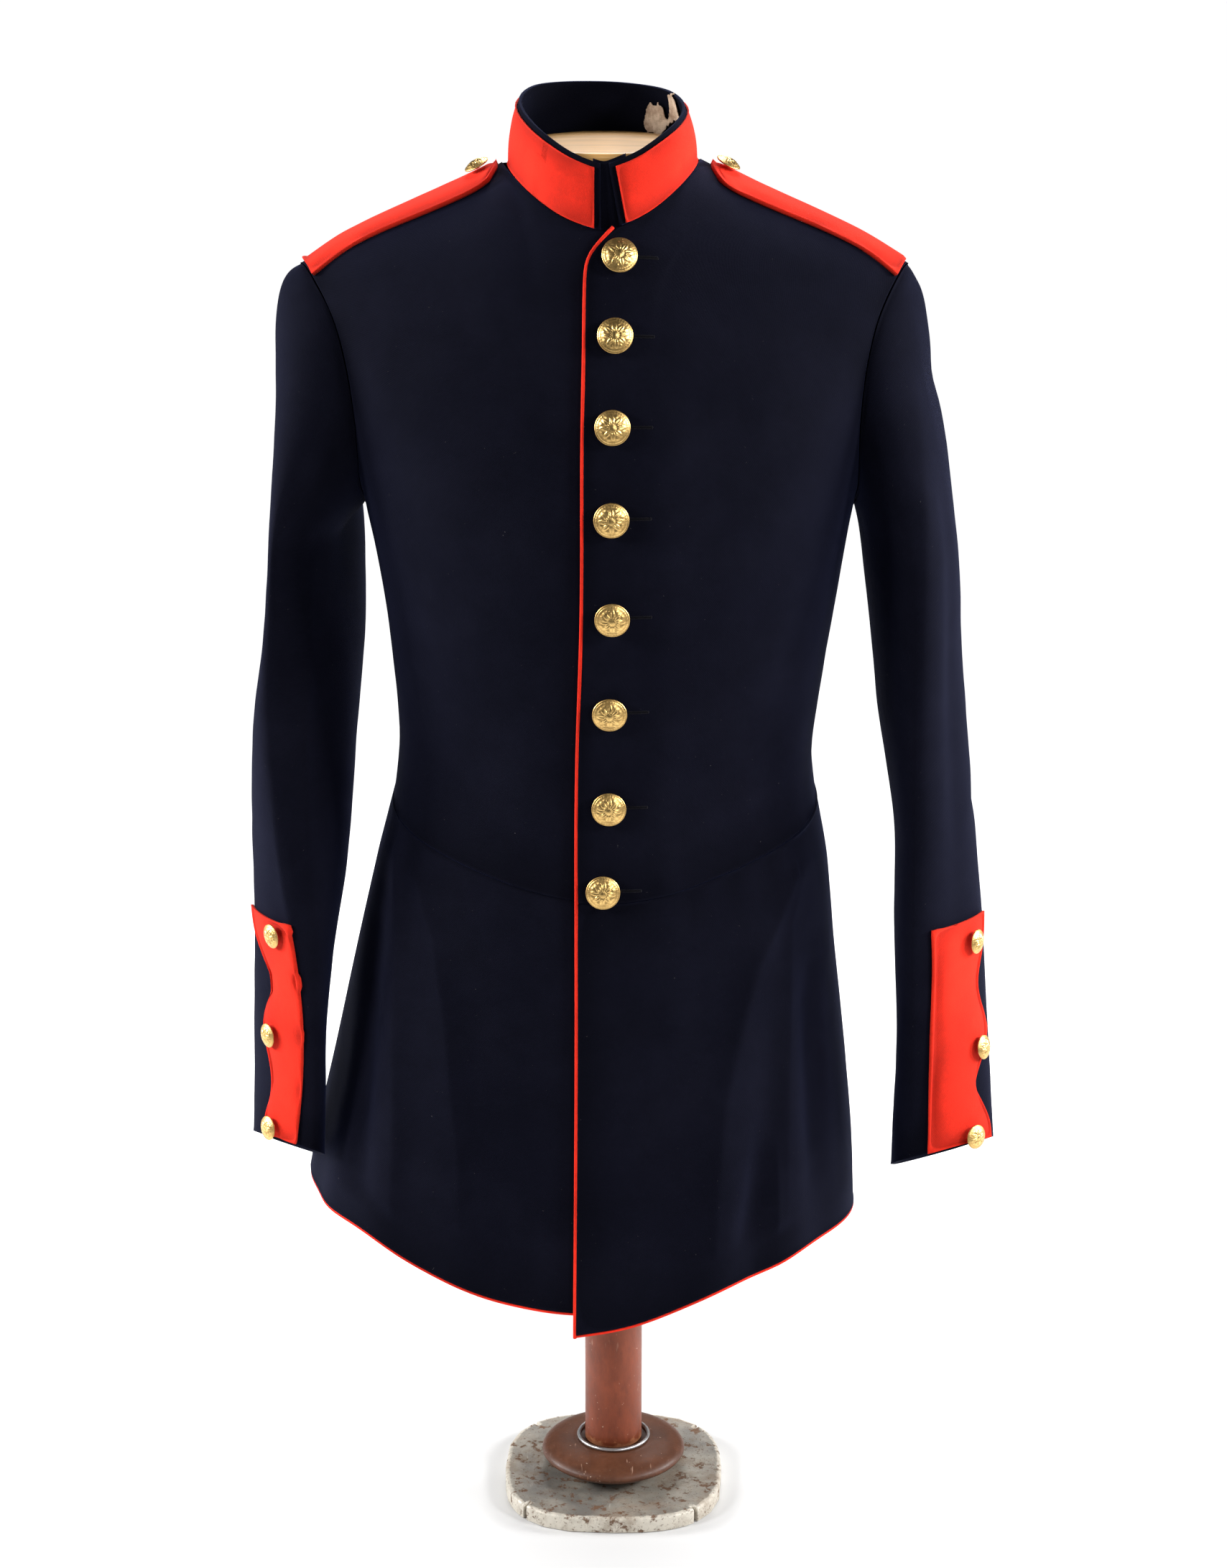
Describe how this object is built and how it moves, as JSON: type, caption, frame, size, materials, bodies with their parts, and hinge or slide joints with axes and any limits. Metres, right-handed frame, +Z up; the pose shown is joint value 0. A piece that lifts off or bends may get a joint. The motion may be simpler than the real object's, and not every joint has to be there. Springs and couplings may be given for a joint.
{
  "type": "military dress tunic on a limbless dress form stand",
  "caption": "Military dress tunic of dark cloth with a standing collar, flared skirt and piped edges, worn by a limbless dress form on a wooden pole and flat metal base.",
  "frame": {"origin": "centre of the base plate's underside, on the pole's axis", "axes": "+Z up, -Y the tunic's front, +X the wearer's left"},
  "size_m": [0.5298, 0.2923, 1.0225],
  "materials": {
    "tunic_cloth": "smooth napped navy wool, dull",
    "red_facing": "scarlet wool facing, dull",
    "red_piping": "scarlet wool cord",
    "gilt_buttons": "gilt, satin with worn relief",
    "lining_remnant": "frayed cotton",
    "form_cover": "plain linen",
    "neck_wood": "pale, waxed",
    "pole_wood": "red-brown polish, worn",
    "ring_steel": "dull steel",
    "base_paint": "worn grey paint with rust spots"
  },
  "bodies": {
    "root": {"back_left": "tunic_cloth", "back_right": "tunic_cloth", "base_plate": "base_paint", "collar_facing": "red_facing", "collar_lining_remnant": "lining_remnant", "collar_stand": "tunic_cloth", "collar_tab": "tunic_cloth", "cuff_button_left_1": "gilt_buttons", "cuff_button_left_2": "gilt_buttons", "cuff_button_left_3": "gilt_buttons", "cuff_button_right_1": "gilt_buttons", "cuff_button_right_2": "gilt_buttons", "cuff_button_right_3": "gilt_buttons", "cuff_panel_left": "red_facing", "cuff_panel_right": "red_facing", "flange": "pole_wood", "front_button_1": "gilt_buttons", "front_button_2": "gilt_buttons", "front_button_3": "gilt_buttons", "front_button_4": "gilt_buttons", "front_button_5": "gilt_buttons", "front_button_6": "gilt_buttons", "front_button_7": "gilt_buttons", "front_button_8": "gilt_buttons", "front_left": "tunic_cloth", "front_right": "tunic_cloth", "neck_cap": "neck_wood", "piping_front": "red_piping", "piping_hem": "red_piping", "pole": "pole_wood", "pole_ring": "ring_steel", "shoulder_strap_left": "red_facing", "shoulder_strap_right": "red_facing", "skirt_back_left": "tunic_cloth", "skirt_back_right": "tunic_cloth", "skirt_front_left": "tunic_cloth", "skirt_front_right": "tunic_cloth", "strap_button_left": "gilt_buttons", "strap_button_right": "gilt_buttons", "topsleeve_left": "tunic_cloth", "topsleeve_right": "tunic_cloth", "torso_form": "form_cover", "undersleeve_left": "tunic_cloth", "undersleeve_right": "tunic_cloth"}
  },
  "joints": []
}
